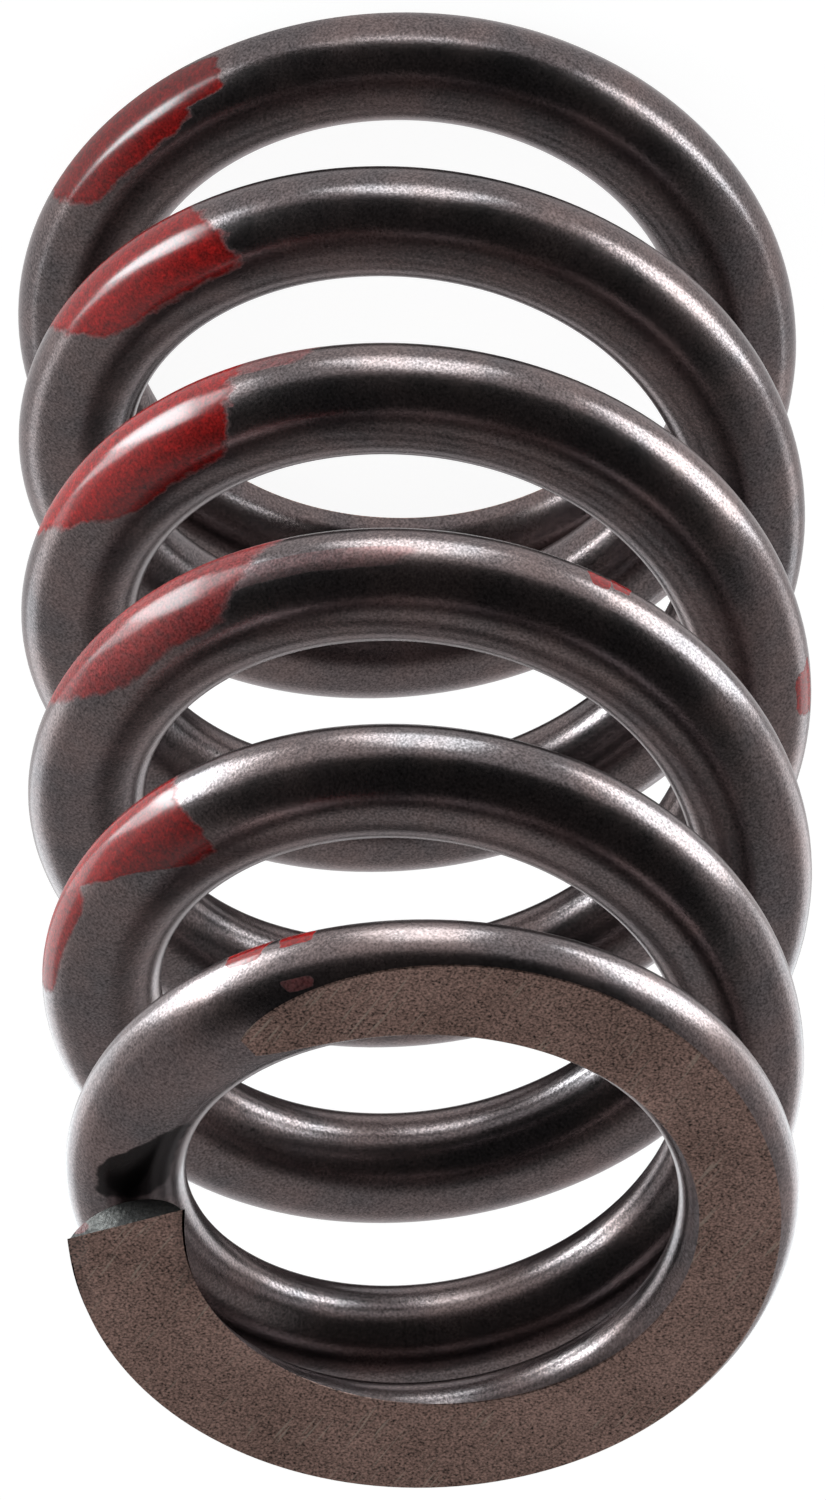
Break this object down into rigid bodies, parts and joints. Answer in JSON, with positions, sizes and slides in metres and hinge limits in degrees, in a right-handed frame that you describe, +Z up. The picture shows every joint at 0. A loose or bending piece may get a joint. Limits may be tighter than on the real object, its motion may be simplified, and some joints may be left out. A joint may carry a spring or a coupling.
{
  "type": "engine valve spring",
  "caption": "Narrowing left-hand valve spring of oval steel wire, closed and ground flat at both ends; it pulls a poppet valve back onto its seat.",
  "frame": {"origin": "on the spring's axis, in the plane of the ground seat face that it stands on", "axes": "+Z up the spring's axis, from the wide seat end to the narrow retainer end; +X towards the wire's tip at the retainer end, within 3 degrees"},
  "size_m": [0.031, 0.031, 0.053],
  "materials": {
    "spring_steel": "shot-peened spring steel, dark grey-brown and satin; ground faces matt brown with fine scratches; red paint marks on one side of the coils"
  },
  "bodies": {
    "root": {"valve_spring": "spring_steel"}
  },
  "joints": []
}
